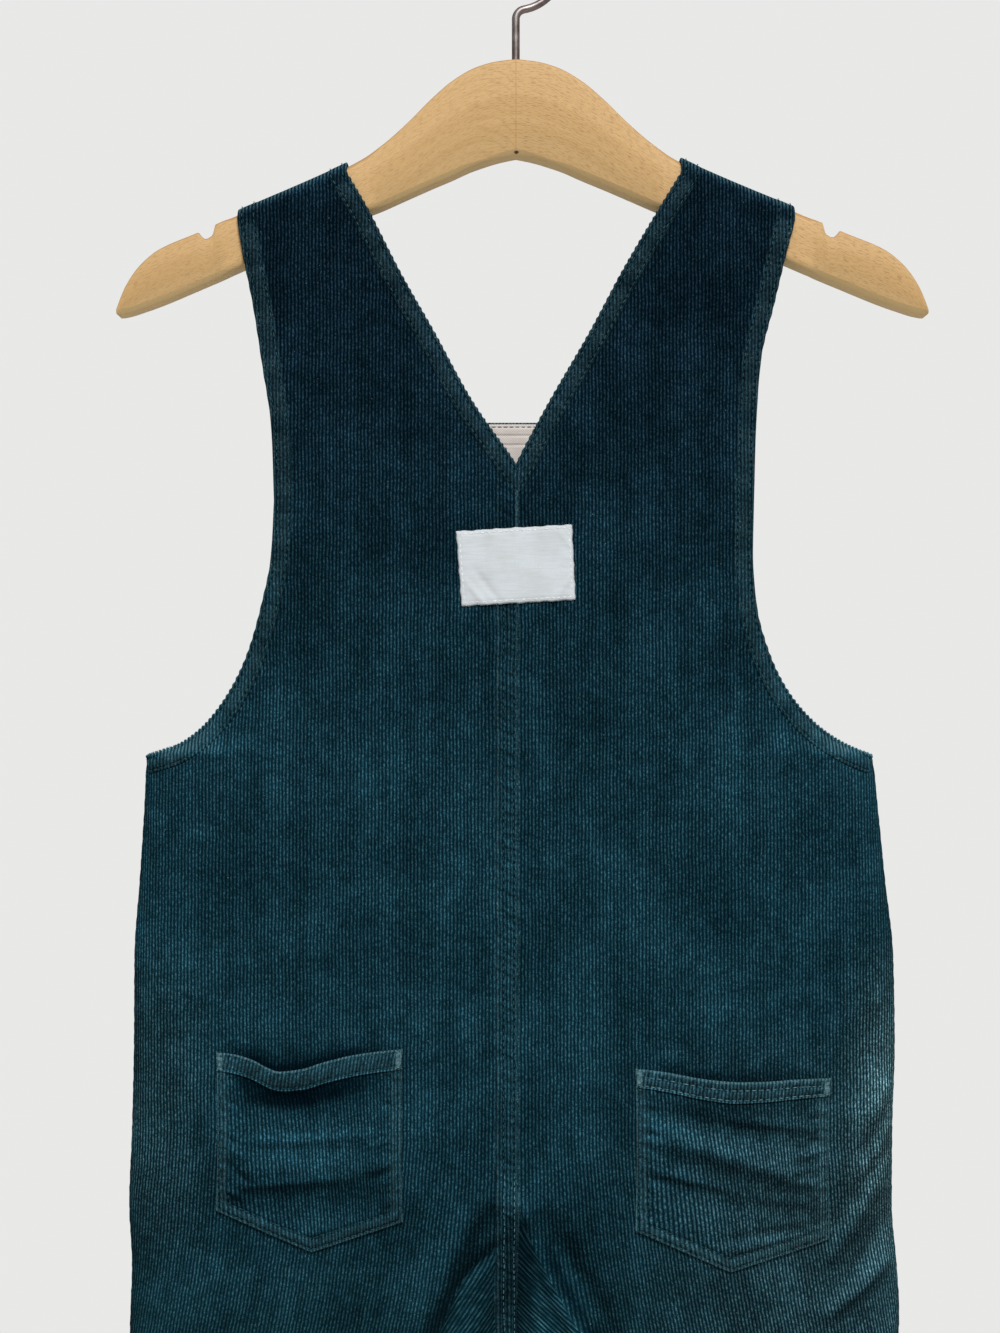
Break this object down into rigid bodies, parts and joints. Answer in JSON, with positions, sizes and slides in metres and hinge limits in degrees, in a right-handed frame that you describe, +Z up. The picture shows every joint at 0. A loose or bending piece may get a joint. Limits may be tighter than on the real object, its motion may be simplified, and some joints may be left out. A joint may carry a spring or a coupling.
{
  "type": "child's corduroy dungarees on a wooden hanger",
  "caption": "Child's sleeveless corduroy dungarees with wide straps buttoned on a bib and seat pockets, hanging on a flat wooden hanger by its wire hook.",
  "frame": {"origin": "inside of the hook's top, where it rests on a rail or wall hook", "axes": "+Z up, +Y from the garment's back towards its bib, +X towards the wearer's right"},
  "size_m": [0.3268, 0.042, 0.8781],
  "materials": {
    "corduroy": "dark green cotton needlecord with worn edges",
    "facing_cotton": "plain taupe cotton",
    "label_cotton": "plain off-white cotton",
    "thread": "dark green sewing thread",
    "button_metal": "aged",
    "beech": "satin clear lacquer",
    "steel_wire": "dull"
  },
  "bodies": {
    "root": {"back_left": "corduroy", "back_right": "corduroy", "front_left": "corduroy", "front_right": "corduroy", "pocket_left": "corduroy", "pocket_right": "corduroy", "bib_facing": "facing_cotton", "label": "label_cotton", "button_left": "button_metal", "button_right": "button_metal", "hanger": "beech", "hook": "steel_wire"}
  },
  "joints": []
}
